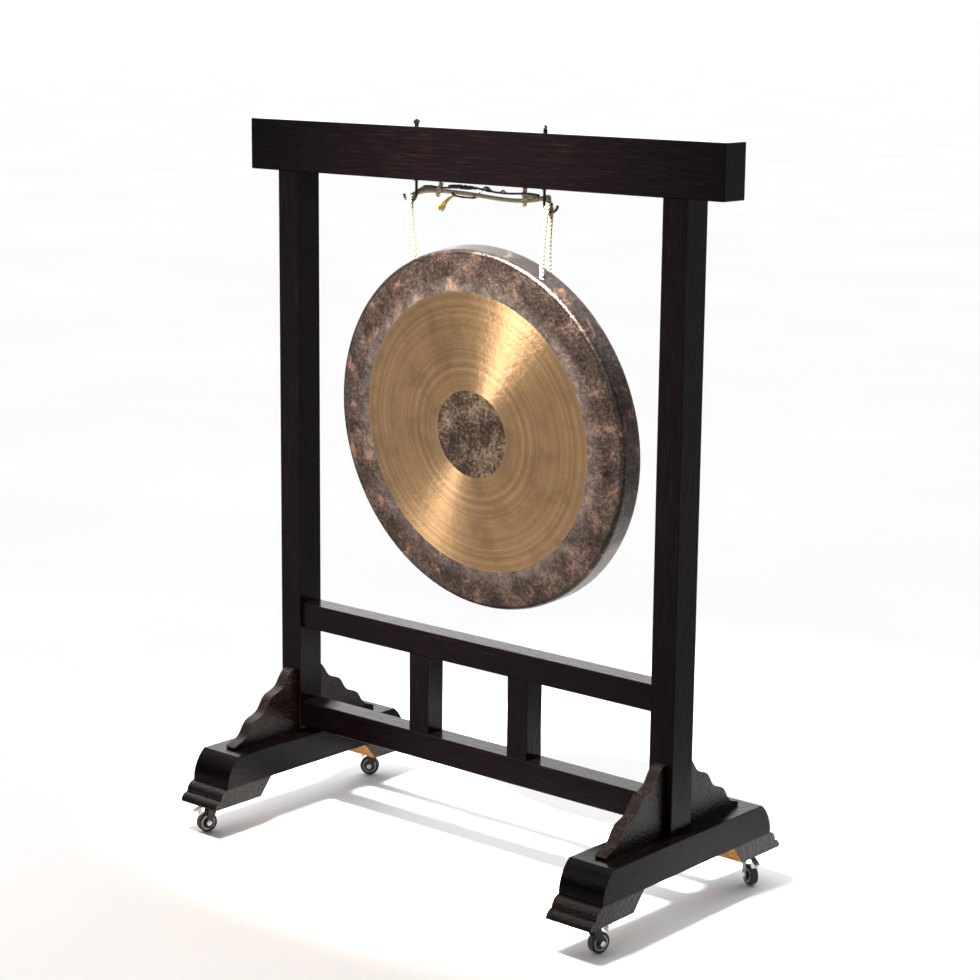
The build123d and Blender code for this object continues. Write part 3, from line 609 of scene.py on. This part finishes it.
for corner in corners:
    spin = hinge["wheel_spin_" + corner]
    hub = Finish("hub_" + corner)
    radius = hub.across(tuple(spin["axis"]), tuple(spin["pos_m"]))
    pale = radius.clear_of(0.0136, 0.0141)
    dust = hub.mottle(160, 3).clear_of(0.45, 0.75)
    colour = hub.blend(pale, hub.blend(dust, (0.012, 0.011, 0.011), (0.035, 0.029, 0.026)),
                       hub.blend(dust, (0.46, 0.41, 0.37), (0.27, 0.22, 0.19)))
    dress(hub.shell(base_color=colour, roughness=0.42 - pale * 0.1,
                    normal=hub.relief(hub.mottle(600, 2), 0.0002)), "wheel_hub_" + corner)
    rubber = Finish("tyre_" + corner)
    scuff = rubber.mottle(90, 5, 0.7)
    colour = rubber.ramp(scuff, (0.35, (0.010, 0.008, 0.008)), (0.6, (0.028, 0.019, 0.016)),
                         (0.75, (0.075, 0.048, 0.036)))
    dress(rubber.shell(base_color=colour, roughness=0.62 + scuff * 0.2,
                       normal=rubber.relief(rubber.mottle(500, 3), 0.0005)), "tyre_" + corner)

# ---- studio -------------------------------------------------------------------------------------
# A plain pale floor, a soft light from above and a little in front, and pale surroundings.
floor_shape = bmesh.new()
bmesh.ops.create_grid(floor_shape, x_segments=40, y_segments=40, size=900)
paper = Finish("pale_floor")
tone = paper.ramp(paper.mottle(0.7, 2), (0.3, (0.68, 0.68, 0.675)), (0.7, (0.71, 0.71, 0.705)))
floor = made_of(floor_shape, "floor", paper.shell(base_color=tone, roughness=0.95, ior=1.2))
floor.location.z = -0.0005


def softbox(name, place, aim, size, power, tint=(1, 1, 1), spread=180):
    lamp = bpy.data.lights.new(name, "AREA")
    lamp.shape, lamp.size, lamp.size_y = "RECTANGLE", size[0], size[1]
    lamp.energy, lamp.color = power, tint
    lamp.spread = math.radians(spread)
    held = bpy.data.objects.new(name, lamp)
    bpy.context.collection.objects.link(held)
    held.location = place
    held.rotation_euler = (Vector(aim) - Vector(place)).to_track_quat("-Z", "Y").to_euler()


softbox("overhead", (0.05, -1.1, 2.9), (0, 0, 0.95), (0.7, 0.35), 66, (1.0, 0.97, 0.92), 36)
softbox("fill", (-2.2, -3.4, 2.4), (0, 0, 0.6), (1.6, 1.6), 18)

world = bpy.data.worlds.new("surroundings")
bpy.context.scene.world = world
world.use_nodes = True
tree = world.node_tree
at = tree.nodes.new("ShaderNodeTexCoord")
facing = tree.nodes.new("ShaderNodeVectorMath")
facing.operation = "DOT_PRODUCT"
facing.inputs[1].default_value = (-0.52, 0.61, 0.60)
tree.links.new(at.outputs["Generated"], facing.inputs[0])
ramp = tree.nodes.new("ShaderNodeMapRange")
tree.links.new(facing.outputs["Value"], ramp.inputs["Value"])
ramp.inputs["From Min"].default_value, ramp.inputs["From Max"].default_value = 0.2, 0.75
ramp.inputs["To Min"].default_value, ramp.inputs["To Max"].default_value = 0.14, 2.7
tree.links.new(ramp.outputs["Result"], tree.nodes["Background"].inputs["Strength"])
tree.nodes["Background"].inputs["Color"].default_value = (0.985, 0.985, 1.0, 1)

yaw, pitch, roll = (math.radians(a) for a in (40.337, -11.479, 0.590))
ahead = Vector((-math.sin(yaw) * math.cos(pitch), math.cos(yaw) * math.cos(pitch), math.sin(pitch)))
right = Vector((math.cos(yaw), math.sin(yaw), 0))
above = right.cross(ahead)
level = right * math.cos(roll) + above * math.sin(roll)
upward = above * math.cos(roll) - right * math.sin(roll)
lens = bpy.data.cameras.new("camera")
sensor_width, focal_length, frame_width = 36, 2367.617, 980
lens.sensor_width, lens.lens = sensor_width, focal_length * sensor_width / frame_width
camera = bpy.data.objects.new("camera", lens)
bpy.context.collection.objects.link(camera)
camera.matrix_world = Matrix.Translation((3.26326, -3.79704, 1.84562)) @ \
    Matrix((level, upward, -ahead)).transposed().to_4x4()
lens.clip_end = 3000
bpy.context.scene.camera = camera
bpy.context.scene.view_settings.view_transform = "Standard"
